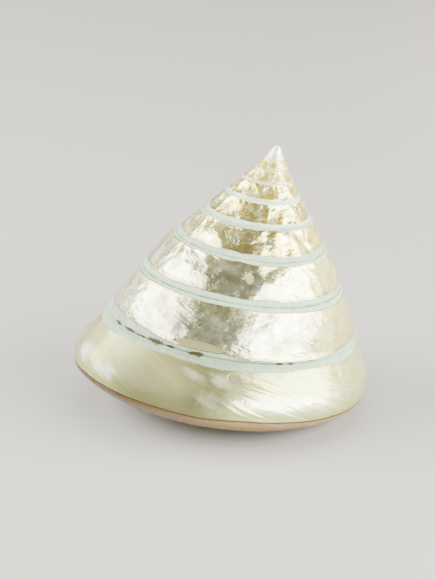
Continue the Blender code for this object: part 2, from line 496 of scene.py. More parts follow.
@dataclass
class SpiralWall:
    """Outer wall: a lattice of slanted growth lines wound round the axis by the growth law."""

    law: GrowthLaw
    relief: Relief
    columns_per_turn: int = 312
    turns: int = 9
    rows: int = 22
    seed: float = 3.0
    calm_share: float = 0.18
    grown_at: float = 2.4
    facets_full: float = 0.016
    facet_middle: float = 0.45
    lumps_full: float = 0.02
    lump_grain: Span = (2.0, 0.45)
    lump_squeeze: float = 0.7
    ribs_per_turn: float = 33.0
    ribs_down: float = 1.7
    ribs_twist: float = 3.0

    @property
    def columns(self) -> int:
        """Number of steps between growth lines from the tip to the lip."""
        return self.columns_per_turn * self.turns

    @property
    def jump(self) -> int:
        """Columns between a lower edge and the growth line that starts on it one turn later."""
        return self.columns_per_turn - round(self.law.shear * self.columns_per_turn)

    def tree(self, material: bpy.types.Material) -> tuple[bpy.types.NodeTree, dict[str, float]]:
        """Geometry Nodes tree that makes the wall.

        Args:
            material: finish set on every face.

        Returns:
            The tree, and the value of each named input by its identifier.
        """
        tree = bpy.data.node_groups.new("spiral wall", "GeometryNodeTree")
        face = tree.interface
        for way in ("INPUT", "OUTPUT"):
            face.new_socket(name="Geometry", in_out=way, socket_type="NodeSocketGeometry")
        sizes = {**vars(self.law), **vars(self.relief), "turns": self.turns, "seed": self.seed}
        titles = {name: name.replace("_", " ").capitalize() for name in sizes}
        values = {}
        for name, size in sizes.items():
            socket = face.new_socket(name=titles[name], in_out="INPUT", socket_type="NodeSocketFloat")
            values[socket.identifier] = float(size)
        bench = NodeBench(tree)
        start = bench.node("NodeGroupInput")
        fields = {name: Field(tree, start.outputs[title]) for name, title in titles.items()}
        law = GrowthLaw(**{name: fields[name] for name in vars(self.law)})
        relief = Relief(**{name: fields[name] for name in vars(self.relief)})

        grid = bench.node("GeometryNodeMeshGrid")
        for name, value in (("Size X", 1.0), ("Size Y", 1.0), ("Vertices X", self.columns + 1),
                            ("Vertices Y", self.rows + 1)):
            grid.inputs[name].default_value = value
        here = bench.node("GeometryNodeInputPosition").outputs[0]
        across, along, _ = bench.parts(here)
        column_turn = law.lip_turn - (0.5 - across) * fields["turns"]
        down = 0.5 - 0.5 * cos(math.pi * held(along + 0.5))
        turn, depth, radius, length = law.wall(column_turn, down)
        below_upper = length * down
        above_lower = length * (1.0 - down)

        amount = self.stand_out(
            bench, law, relief, fields["seed"], turn, depth, length, below_upper, above_lower
        )
        spot = law.place(turn, depth - amount * sin(relief.slope), radius + amount * cos(relief.slope))

        geometry = grid.outputs["Mesh"]
        geometry = self.store(bench, geometry, WALL_UV, bench.vector(turn, down))
        geometry = self.store(bench, geometry, SEAM_UV, bench.vector(below_upper / MM, above_lower / MM))
        moved = bench.node("GeometryNodeSetPosition")
        feed(tree, moved.inputs["Geometry"], geometry)
        feed(tree, moved.inputs["Position"], bench.vector(*spot))
        plain = bench.node("GeometryNodeRealizeInstances")
        feed(tree, plain.inputs["Geometry"], moved.outputs["Geometry"])
        dressed = bench.node("GeometryNodeSetMaterial")
        feed(tree, dressed.inputs["Geometry"], plain.outputs["Geometry"])
        dressed.inputs["Material"].default_value = material
        end = bench.node("NodeGroupOutput")
        tree.links.new(dressed.outputs["Geometry"], end.inputs["Geometry"])
        return tree, values

    def stand_out(self, bench: NodeBench, law: GrowthLaw, relief: Relief, seed: Field, turn: Field,
                  depth: Field, length: Field, below: Field, above: Field) -> Field:
        """How far the surface stands out from the law.

        Args:
            bench: tree to add to.
            law: growth law with the tree's inputs.
            relief: sizes of the low forms.
            seed: fixed seed of the noise.
            turn: turn of the point.
            depth: depth of the point.
            length: height of the whorl's wall.
            below: distance from the upper suture.
            above: distance from the lower edge.

        Returns:
            The distance in metres.
        """
        rimless = 1.0 - law.body_share(turn)
        grown_up = held(depth / relief.full_whorl / self.grown_at)
        fill = bell(below, relief.seam_reach) + bell(above, relief.seam_reach) * rimless
        groove = bell(below, relief.groove_reach) + bell(above, relief.groove_reach) * rimless
        seam = (relief.seam_fill * fill - relief.seam_groove * groove) * grown_up
        calm = smooth(least(below, above) / (length * self.calm_share))
        place = bench.vector(*law.place(turn, depth, depth * self.lump_squeeze))
        x, y, z = bench.parts(place)
        seeded = bench.vector(x + seed, y, z)
        lumps = bench.noise(seeded, 1.0 / relief.lump_size, *self.lump_grain) - 0.5
        rib_row = below / length * self.ribs_down + turn * self.ribs_twist
        facets = bench.cells(bench.vector(turn * self.ribs_per_turn, rib_row, seed)) - self.facet_middle
        early = smooth((relief.facet_from - depth) / relief.facet_reach)
        facet_height = relief.facet * facets * early * calm
        lump_height = relief.lump * lumps * 2.0 * calm
        tip = relief.tip_fill * exp(-1.0 * depth / relief.tip_fill_reach)
        facet_height = facet_height * held(depth / self.facets_full)
        return seam + tip + facet_height + lump_height * held(depth / self.lumps_full)

    @staticmethod
    def store(bench: NodeBench, geometry: object, name: str, value: object) -> bpy.types.NodeSocket:
        """Keep a pair of numbers on the faces' corners under a name."""
        made = bench.node("GeometryNodeStoreNamedAttribute", data_type="FLOAT2", domain="CORNER")
        feed(bench.tree, made.inputs["Geometry"], geometry)
        made.inputs["Name"].default_value = name
        socket = [s for s in made.inputs if s.name == "Value" and s.enabled][0]
        feed(bench.tree, socket, value)
        return made.outputs["Geometry"]

    def mesh(self, material: bpy.types.Material) -> bpy.types.Mesh:
        """Evaluate the tree into a plain mesh.

        Args:
            material: finish set on every face.

        Returns:
            The wall's mesh in the shell's own axes.
        """
        tree, values = self.tree(material)
        holder = bpy.data.objects.new("wall_maker", bpy.data.meshes.new("wall_maker"))
        bpy.context.scene.collection.objects.link(holder)
        modifier = holder.modifiers.new("wall", "NODES")
        modifier.node_group = tree
        for identifier, value in values.items():
            modifier[identifier] = value
        graph = bpy.context.evaluated_depsgraph_get()
        made = bpy.data.meshes.new_from_object(holder.evaluated_get(graph))
        holder.modifiers.remove(modifier)
        bpy.data.objects.remove(holder, do_unlink=True)
        return made

    def number(self, column: int, row: int) -> int:
        """Point number by column and row."""
        return column * (self.rows + 1) + row


@dataclass
class PieceParts:
    """Points and faces of one closed piece while it is put together."""

    points: list[np.ndarray] = field(default_factory=list)
    faces: list[tuple[int, ...]] = field(default_factory=list)
    slots: list[int] = field(default_factory=list)
    corners: list[Line] = field(default_factory=list)
    count: int = 0

    def add_points(self, points: np.ndarray) -> list[int]:
        """Add points and return their numbers."""
        self.points.append(points)
        first = self.count
        self.count += len(points)
        return list(range(first, self.count))

    def add_face(self, numbers: tuple[int, ...], slot: int, corners: Line) -> None:
        """Add a face with its material slot and the pair of numbers at each corner."""
        self.faces.append(numbers)
        self.slots.append(slot)
        self.corners.append(corners)

    def add_strip(self, left: list[int], right: list[int], slot: int, left_uv: list[Span],
                  right_uv: list[Span]) -> None:
        """Faces between two lines of points; a patch that has shrunk to a corner gets a triangle."""
        for k in range(len(left) - 1):
            ring = [(left[k], left_uv[k]), (right[k], right_uv[k])]
            ring += [(right[k + 1], right_uv[k + 1]), (left[k + 1], left_uv[k + 1])]
            kept = [item for n, item in enumerate(ring) if item[0] != ring[n - 1][0]]
            if len(kept) > 2:
                self.add_face(tuple(i[0] for i in kept), slot, tuple(i[1] for i in kept))


class Slot(Enum):
    """Material slots of the piece."""

    NACRE = 0
    BASE = 1
    CHAMBER = 2


@dataclass
class ShellBase:
    """Convex base from the rim to the axis."""

    law: BaseLaw
    rows: int = 40
    spacing: float = 1.2

    def shares(self) -> np.ndarray:
        """Share of the rim's radius at each row, from the rim inwards."""
        return 1.0 - (np.arange(self.rows + 1) / self.rows) ** self.spacing

    def build(self, parts: PieceParts, rim_numbers: list[int], rim_turns: np.ndarray) -> list[list[int]]:
        """Add the base under a line of rim points.

        Args:
            parts: piece to add to.
            rim_numbers: points of the rim from the parietal line to the basal lip.
            rim_turns: their turns.

        Returns:
            Point numbers of every growth line, rim first and axis last.
        """
        shares = self.shares()
        centre = parts.add_points(self.law.points(np.array([self.law.centre_turn]), np.array([0.0])))[0]
        lines = []
        for number, turn in zip(rim_numbers, rim_turns):
            inner = self.law.points(np.full(self.rows - 1, turn), shares[1:-1])
            lines.append([number] + parts.add_points(inner) + [centre])
        uvs = [[(float(turn), float(share)) for share in shares] for turn in rim_turns]
        for k in range(len(lines) - 1):
            parts.add_strip(lines[k], lines[k + 1], Slot.BASE.value, uvs[k], uvs[k + 1])
        return lines


@dataclass
class BodyChamber:
    """Hollow that winds up inside from the aperture to a closed end."""

    law: BaseLaw
    wall_rows: int
    base_rows: int
    wall: float = 0.0017
    wall_least: float = 0.0008
    callus: float = 0.0003
    callus_reach: float = 0.06
    columella: float = 0.125
    turns: float = 3.0
    steps_per_turn: int = 52
    start: float = 0.003
    corner_drop: float = 0.35
    corner_tuck: float = 1.25
    corner_sight: float = 0.12
    floor_setback: float = 2.2
    ceiling_share: float = 0.131
    ceiling_spacing: float = 0.9
    wall_sight: float = 0.06
    base_sight: float = 0.02
    rim_sight: float = 0.97
    end_reach: float = 0.03

    def inward(self, turn: Value, here: tuple, before: tuple, after: tuple, thick: float) -> np.ndarray:
        """Points moved in from the outer surface, square to the profile from before to after."""
        fall = after[0] - before[0]
        spread = after[1] - before[1]
        length = np.hypot(fall, spread)
        depth = here[0] + spread / length * thick
        radius = here[1] - fall / length * thick
        return np.stack(self.law.growth.place(turn, depth, radius), -1)

    def ring(self, inside: float) -> np.ndarray:
        """Ring of the hollow some turns in from the lip, in the order of the aperture's outline.

        Args:
            inside: turns in from the lip.

        Returns:
            The ring's points.
        """
        growth = self.law.growth
        low_turn = growth.lip_turn - growth.shear - inside
        top_turn = growth.lip_turn - inside
        full = growth.suture(growth.lip_turn - growth.shear)[1]
        thick = max(self.wall_least, self.wall * growth.suture(low_turn)[1] / full)
        callus = self.callus * float(smooth(inside / self.callus_reach))
        top_depth, top_radius = growth.suture(top_turn - 1.0)
        _, near_depth, near_radius, _ = growth.wall(top_turn, self.corner_sight)
        slope = math.atan2(near_radius - top_radius, near_depth - top_depth)
        tuck = self.corner_tuck * (thick - callus * math.sin(slope)) / math.cos(slope)
        corner_radius = top_radius - tuck
        corner = growth.place(top_turn, top_depth + callus + self.corner_drop * thick, corner_radius)
        down = 0.5 - 0.5 * np.cos(math.pi * np.arange(1, self.wall_rows + 1) / self.wall_rows)
        turn, depth, radius, _ = growth.wall(top_turn, down)
        before = growth.wall(top_turn, down - self.wall_sight)[1:3]
        after = [part.copy() for part in growth.wall(top_turn, down + self.wall_sight)[1:3]]
        last = self.law.surface(low_turn, self.rim_sight)
        after[0][-1], after[1][-1] = last
        sides = self.inward(turn, (depth, radius), before, tuple(after), thick)
        outer_share = 1.0 - self.floor_setback * thick / growth.rim(low_turn)[1]
        share = np.linspace(outer_share, self.columella, self.base_rows)
        floor = self.inward(
            low_turn + self.law.ahead(share),
            self.law.surface(low_turn, share),
            self.law.surface(low_turn, share + self.base_sight),
            self.law.surface(low_turn, share - self.base_sight),
            thick,
        )
        corner_share = corner_radius / growth.rim(top_turn - 1.0)[1]
        back = np.arange(self.base_rows - 1, 0, -1) / self.base_rows
        ceiling_share = mix(corner_share, self.ceiling_share, back ** self.ceiling_spacing)
        ceiling = self.law.points(np.full(len(back), top_turn - 1.0), ceiling_share, callus)
        return np.concatenate([np.array([corner]), sides, floor, ceiling])

    def build(self, parts: PieceParts, outline: list[int]) -> None:
        """Add the hollow inside the aperture's outline.

        Args:
            parts: piece to add to.
            outline: points round the aperture.
        """
        before = outline
        plain = [(0.0, 0.0)] * (len(outline) + 1)
        steps = round(self.turns * self.steps_per_turn)
        for k in range(steps + 1):
            now = parts.add_points(self.ring(max(self.start, k / self.steps_per_turn)))
            parts.add_strip(before + before[:1], now + now[:1], Slot.CHAMBER.value, plain, plain)
            before = now
        last = self.ring(self.turns + self.end_reach)
        end = parts.add_points(last.mean(0)[None])[0]
        for k, number in enumerate(before):
            ahead = before[(k + 1) % len(before)]
            parts.add_face((ahead, number, end), Slot.CHAMBER.value, tuple(plain[:3]))


@dataclass(frozen=True)
class Pose:
    """How the shell lies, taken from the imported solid's highest point, which is its tip."""

    lean_right: float = math.radians(12.127)
    lean_back: float = math.radians(1.940)
    tip_height: float = 0.0006

    def lay(self, points: np.ndarray, tip: Vector) -> np.ndarray:
        """Turn points from the shell's own axes into its resting pose.

        Args:
            points: places in the shell's own axes.
            tip: the tip's place in the frame.

        Returns:
            Places in the frame, none below the floor.
        """
        axis = Vector((math.tan(self.lean_right), math.tan(self.lean_back), 1.0)).normalized()
        across = Vector((1.0, 0.0, 0.0))
        across = (across - axis * across.dot(axis)).normalized()
        back = axis.cross(across)
        turn = np.array([across, back, axis])
        apex = np.array(tip) - np.array(axis) * self.tip_height
        laid = points @ turn + apex
        laid[:, 2] = np.maximum(laid[:, 2], 0.0)
        return laid


@dataclass(frozen=True)
class Mark:
    """Small mark on the wall, or a painted sheen, placed by turn and by millimetres below the upper
    suture.
    """

    turn: float
    below: float
    half_turns: float
    half_down: float
    colour: Colour
    slant: float = 0.0
    dent: float = 0.0
    strength: float = 1.0
    softness: float = 0.24

    def mask(self, turn: Field, below: Field, ragged: Field) -> Field:
        """Where the mark is.

        Args:
            turn: turn of the point.
            below: millimetres below the upper suture.
            ragged: unevenness of the outline.

        Returns:
            1 on the mark and 0 off it.
        """
        across = (turn - self.turn) / self.half_turns
        down = (below - self.below - across * self.slant) / self.half_down
        reach = root(across * across + down * down) + ragged
        return self.strength * (1.0 - step(reach, 1.06 - self.softness, 1.06))


LENS_PATCH = Mark(0.3125, 10.40, 0.034, 1.05, (0.20, 0.20, 0.085))
CHIP = Mark(1.259, 4.24, 0.0090, 1.25, (0.18, 0.175, 0.09), slant=-0.5, dent=0.10)
BLISTER = Mark(-0.733, 3.98, 0.0085, 1.3, (0.50, 0.47, 0.18), -0.3, dent=-0.06, strength=0.5)
DOT = Mark(0.3445, 10.39, 0.0019, 0.30, (0.10, 0.03, 0.01))
NICK = Mark(-0.8057, 3.75, 0.0055, 0.14, (0.10, 0.10, 0.07), slant=0.4)
SCRATCH = Mark(1.2438, 8.9, 0.0007, 0.80, (0.30, 0.31, 0.18))
# The five sheens are painted highlights: pale patches that stand in for the shine of the nacre.
LEFT_SHEEN = Mark(1.463, 9.3, 0.022, 2.3, (0.80, 0.88, 0.76), -0.3, strength=0.7, softness=1.0)
LOW_SHEEN = Mark(1.414, 10.1, 0.028, 1.6, (0.80, 0.88, 0.76), strength=0.6, softness=1.0)
UPPER_SHEEN = Mark(1.306, 4.7, 0.020, 1.6, (0.52, 0.54, 0.34), -1.2, strength=0.40, softness=1.0)
MIDDLE_SHEEN = Mark(1.274, 5.1, 0.018, 1.9, (0.62, 0.66, 0.46), -1.2, strength=0.45, softness=1.0)
FOOT_SHEEN = Mark(1.281, 9.6, 0.020, 2.2, (0.50, 0.53, 0.33), -0.8, strength=0.36, softness=1.0)
BAND_STAIN = Mark(1.324, 2.1, 0.020, 0.7, (0.24, 0.19, 0.07), strength=0.55, softness=0.9)
HEALED_CRACK = Mark(1.108, 3.9, 0.005, 3.1, (0.84, 0.87, 0.68), -0.6, strength=0.5, softness=0.8)


@dataclass(frozen=True)
class BandFinish:
    """Porcelain band left along the sutures, as widths in millimetres by the turn of the suture."""

    above: Line = (
        (-8.5, 0.2), (-5.0, 0.35), (-4.0, 0.5), (-3.0, 0.7), (-2.0, 1.2), (-1.5, 1.4), (-1.0, 1.2),
        (-0.5, 1.6), (0.0, 1.1), (0.09, 1.1), (0.12, 0.6), (0.18, 0.35), (0.24, 0.4), (0.27, 0.85),
        (0.285, 1.4), (0.31, 1.0), (0.34, 0.65), (0.37, 1.6), (0.41, 2.2), (0.46, 2.5), (0.9, 1.9),
    )
    below: Line = (
        (-8.5, 0.2), (-5.0, 0.4), (-3.0, 0.7), (-2.0, 1.1), (-1.5, 0.7), (-1.0, 1.4), (-0.6, 0.75),
        (0.0, 1.5), (0.09, 2.0), (0.14, 1.0), (0.193, 2.0), (0.225, 1.7), (0.25, 2.3), (0.292, 2.4),
        (0.315, 1.9), (0.332, 0.95), (0.362, 2.4), (0.41, 1.8), (0.445, 2.7), (0.9, 2.6),
    )
    pits: tuple[tuple[float, float, float, float], ...] = (
        (0.443, 0.10, 0.008, 0.42), (0.415, 0.05, 0.012, 0.45), (0.392, 0.0, 0.012, 0.20),
        (0.368, 0.10, 0.013, 0.75), (0.346, 0.10, 0.008, 0.32), (0.312, 0.05, 0.013, 0.55),
        (0.206, 0.05, 0.005, 0.30), (0.190, 0.0, 0.007, 0.24),
    )
    full_width: float = 4.0
    colour: Colour = (0.44, 0.59, 0.40)
    shaded: Colour = (0.33, 0.45, 0.30)
    early: Colour = (0.68, 0.80, 0.56)
    last: Colour = (0.19, 0.25, 0.155)
    line: Colour = (0.08, 0.17, 0.16)
    pit: Colour = (0.055, 0.055, 0.018)
    stain: Colour = (0.30, 0.36, 0.22)
    edge: Colour = (0.26, 0.19, 0.07)
    wave_grain: Grain = (260.0, 2.0, 0.55)
    fray_grain: Grain = (1300.0, 3.0, 0.6)
    uneven_grain: Grain = (330.0, 3.0, 0.6)
    wobble_grain: Grain = (420.0, 3.0, 0.6)
    strength_grain: Grain = (190.0, 2.0, 0.6)
    broken_grain: Grain = (1500.0, 3.0, 0.65)
    cloudy_grain: Grain = (600.0, 3.0, 0.6)
    spire_end: Span = (0.767, 0.80)
    weak_until: Span = (-4.6, -3.0)
    stained_from: Span = (0.13, 0.22)
    stained_until: Span = (0.44, 0.47)
    far: float = 9.0

    def group(self) -> bpy.types.NodeTree:
        """Node group: masks of the band, its hairlines and pits, and the band's colour."""
        bench = new_group("suture band")
        place = bench.place()
        turn = bench.parts(bench.uv(WALL_UV))[0]
        below, above, _ = bench.parts(bench.uv(SEAM_UV))
        wave = (bench.noise(place, *self.wave_grain) - 0.5) * mix(1.7, 0.6, step(turn, 0.0, 0.1))
        ragged = wave + (bench.noise(place, *self.fray_grain) - 0.5) * 0.5
        width_above = bench.curve(turn, self.above, self.full_width)
        width_below = bench.curve(turn - 1.0, self.below, self.full_width)
        on_spire = 1.0 - step(turn, *self.spire_end)
        grown = held(width_below / 1.2)
        edge_below = width_below + ragged * grown - below
        edge_above = width_above + ragged * grown - above
        inside = most(edge_below, edge_above * on_spire + (on_spire - 1.0) * self.far)
        band = step(inside, -0.06, 0.10) * mix(0.3, 1.0, step(turn, *self.weak_until))
        uneven = step(bench.noise(place, *self.uneven_grain), 0.36, 0.62)
        fringe = bell(edge_above + 0.40, 0.17) * on_spire * (0.35 + 0.65 * uneven) * 0.9
        edge = most(bell(inside, 0.20) * uneven * 0.6, fringe) * step(turn, -3.2, -2.2)
        near = most(least(below, above + (1.0 - on_spire) * self.far), 0.0)
        side = below - above
        signed = least(most(side, -1.0), 1.0) * near
        seam_turn = turn - (1.0 - held(side * 1000.0)) * 1.0
        wobble = (bench.noise(place, *self.wobble_grain) - 0.5) * 0.7
        strength = bench.noise(place, *self.strength_grain)
        stained = step(seam_turn, *self.stained_from) * (1.0 - step(seam_turn, *self.stained_until))
        first = bell(signed + wobble, 0.085) * step(strength, 0.40, 0.60)
        second = bell(signed + wobble * 1.6 + 0.42, 0.07) * step(strength, 0.52, 0.66)
        third = bell(signed - wobble * 0.7 - 0.35, 0.06) * step(strength, 0.48, 0.62) * 0.7
        line = held(most(most(first, second), third)) * band
        line = most(line, bell(signed + wobble * 0.5 + 0.05, 0.09) * stained * band * 0.8)
        pit = self.pitted(bench.noise(place, *self.broken_grain), seam_turn, signed + wobble * 0.5) * band
        cloudy = bench.noise(place, *self.cloudy_grain)
        stain = bell(signed + wobble, 0.45) * stained * step(strength, 0.35, 0.6)
        colour = bench.blend(step(cloudy, 0.35, 0.75), self.colour, self.shaded)
        colour = bench.blend(1.0 - step(turn, -3.2, -1.8), colour, self.early)
        colour = bench.blend(bell(seam_turn - 0.33, 0.15) * (0.45 + 0.5 * cloudy), colour, self.last)
        colour = bench.blend(stain * 0.6, colour, self.stain)
        height = (line * -0.03 - pit * 0.20) * MM
        return bench.put_out(Band=band, Line=line, Pit=pit, Edge=edge, Colour=colour, Height=height)

    def pitted(self, broken: Field, seam_turn: Field, off_line: Field) -> Field:
        """Where the dark pits are.

        Args:
            broken: noise that breaks their outlines.
            seam_turn: turn of the nearest suture.
            off_line: millimetres from the wandering middle of the band.

        Returns:
            1 in a pit and 0 outside.
        """
        pit = 0.0
        for at, offset, half_turns, half_width in self.pits:
            across = (seam_turn - at) / half_turns
            off = (off_line - offset) / half_width
            reach = root(across * across + off * off) + (broken - 0.5) * 2.2
            pit = most(1.0 - step(reach, 0.55, 1.0), pit)
        return pit


@dataclass(frozen=True)
class BaseFinish:
    """Glossy base: dark tan near the rim as painted shade and a painted floor reflection, pearly inwards,
    with faint growth lines and rings.
    """

    # peach, cream and pearl are darker than the base's own colour: painted shade and a painted reflection
    # of a wooden floor near the rim.
    peach: Colour = (0.080, 0.042, 0.009)
    cream: Colour = (0.120, 0.072, 0.018)
    pearl: Colour = (0.145, 0.098, 0.032)
    light_peach: Colour = (0.44, 0.30, 0.13)
    inner_pearl: Colour = (0.60, 0.54, 0.36)
    fine_grain: Grain = (1.0, 3.0, 0.6)
    cloud_grain: Grain = (120.0, 3.0, 0.55)
    lines_per_turn: float = 110.0
    rings: float = 34.0
    light_until: Span = (1.24, 1.40)
    pearly_until: Span = (0.50, 0.78)
    roughness: Span = (0.24, 0.38)

    def group(self) -> bpy.types.NodeTree:
        """Node group: colour, roughness and height of the base, built once."""
        name = "base nacre"
        if name in bpy.data.node_groups:
            return bpy.data.node_groups[name]
        bench = new_group(name)
        turn, share, _ = bench.parts(bench.uv(WALL_UV))
        lines = bench.noise(bench.vector(turn * self.lines_per_turn, share * 1.5), *self.fine_grain)
        spiral = bench.noise(bench.vector(turn * 2.0, share * self.rings), *self.fine_grain)
        clouds = bench.noise(bench.place(), *self.cloud_grain)
        colour = bench.blend(step(spiral, 0.35, 0.65), self.peach, self.cream)
        colour = bench.blend(step(clouds, 0.4, 0.65) * 0.6, colour, self.pearl)
        colour = bench.blend(step(lines, 0.45, 0.75) * 0.12, colour, self.peach)
        # Painted reflection: the base is lighter on the right than on the left.
        colour = bench.blend(0.55 - 0.55 * step(turn, *self.light_until), colour, self.light_peach)
        colour = bench.blend(0.85 - 0.85 * step(share, *self.pearly_until), colour, self.inner_pearl)
        rough = mix(*self.roughness, step(lines, 0.3, 0.7))
        height = ((lines - 0.5) * 0.03 + (spiral - 0.5) * 0.02 + (clouds - 0.5) * 0.06) * MM
        return bench.put_out(Colour=colour, Roughness=rough, Height=height)

    def sockets(self, bench: NodeBench) -> dict[str, object]:
        """Values of the shader's sockets."""
        base = bench.use(self.group())
        return {
            "Base Color": base["Colour"], "Roughness": base["Roughness"], "Height": base["Height"],
            "Metallic": 0.05, "Specular IOR Level": 0.25, "Coat Weight": 0.06, "Coat Roughness": 0.1,
        }


@dataclass(frozen=True)
class NacreFinish:
    """Polished mother of pearl: silver on the spire, silkier and greener on the body whorl."""

    bands: BandFinish
    base: BaseFinish
    # The marks include the five sheens, which are painted highlights.
    marks: tuple[Mark, ...] = (
        LEFT_SHEEN, LOW_SHEEN, UPPER_SHEEN, MIDDLE_SHEEN, FOOT_SHEEN, BAND_STAIN, LENS_PATCH, CHIP,
        BLISTER, DOT, NICK, SCRATCH, HEALED_CRACK,
    )
    rim_edge: Line = (
        (0.7, 0.2), (0.85, 1.0), (1.1, 1.3), (1.2, 1.5), (1.245, 1.5), (1.287, 0.9), (1.34, 1.05),
        (1.4, 1.2), (1.44, 1.45), (1.5, 1.3), (1.6, 1.2),
    )
    rim_full: float = 2.0
    silver: Colour = (0.88, 0.93, 0.76)
    taupe: Colour = (0.26, 0.26, 0.11)
    # cream is also the painted reflection on each whorl's right edge.
    cream: Colour = (0.83, 0.79, 0.27)
    pale_green: Colour = (0.66, 0.76, 0.40)
    body: Colour = (0.60, 0.62, 0.20)
    # olive, dim_green and deep_green are painted shade on the front of the body whorl.
    olive: Colour = (0.34, 0.34, 0.13)
    gloss_pearl: Colour = (0.80, 0.88, 0.58)
    left_cream: Colour = (0.31, 0.32, 0.12)
    dim_green: Colour = (0.125, 0.125, 0.040)
    deep_green: Colour = (0.058, 0.056, 0.027)
    satin_green: Colour = (0.36, 0.38, 0.13)
    # umber is also the painted dark reflection down the middle of each whorl.
    umber: Colour = (0.20, 0.19, 0.09)
    rim_green: Colour = (0.48, 0.50, 0.09)
    tip_white: Colour = (0.90, 0.90, 0.66)
    gold: Colour = (0.50, 0.38, 0.04)
    glint: Colour = (0.95, 0.94, 0.72)
    rim_dark: Colour = (0.022, 0.015, 0.006)
    roughness: Span = (0.17, 0.28)
    body_from: Span = (0.60, 0.90)
    last_from: Span = (-0.35, 0.05)
    early_until: Span = (-1.9, -1.2)
    tip_until: Span = (-7.2, -6.2)
    satin_from: Span = (1.27, 1.33)
    satin_until: Span = (1.41, 1.46)
    clouded_from: Span = (-3.0, -2.0)
    # Turns of the painted shade on the body whorl.
    dim_from: Span = (1.235, 1.30)
    dim_until: Span = (1.35, 1.44)
    left_end: Span = (1.44, 1.50)
    grain: Grain = (1.0, 3.0, 0.6)
    fleck_grain: Grain = (1.0, 4.0, 0.65)
    cloud_grain: Grain = (150.0, 3.0, 0.55)
    mottle_grain: Grain = (700.0, 3.0, 0.6)
    speck_grain: Grain = (2200.0, 2.0, 0.5)
    tone_grain: Grain = (300.0, 5.0, 0.62)
    gold_grain: Grain = (520.0, 3.0, 0.6)
    hammer_grain: Grain = (380.0, 2.0, 0.5)
    fine_grain: Grain = (950.0, 2.0, 0.5)

    def sockets(self, bench: NodeBench) -> dict[str, object]:
        """Values of the shader's sockets, with the bands laid over the pearl."""
        pearl = bench.use(NacreGroup(self).finished())
        band = bench.use(self.bands.group())
        mask = band["Band"]
        colour = bench.blend(band["Edge"], pearl["Colour"], self.bands.edge)
        colour = bench.blend(mask, colour, band["Colour"])
        colour = bench.blend(band["Line"] * 0.8, colour, self.bands.line)
        colour = bench.blend(band["Pit"], colour, self.bands.pit)
        return {
            "Base Color": colour,
            "Roughness": mix(pearl["Roughness"], 0.38, mask),
            "Metallic": mix(pearl["Metallic"], 0.0, mask),
            "Coat Weight": mix(pearl["Coat"], 0.15, mask),
            "Coat Roughness": 0.09,
            "IOR": 1.5,
            "Specular IOR Level": 0.15,
            "Height": pearl["Height"] * (1.0 - mask) + band["Height"],
        }


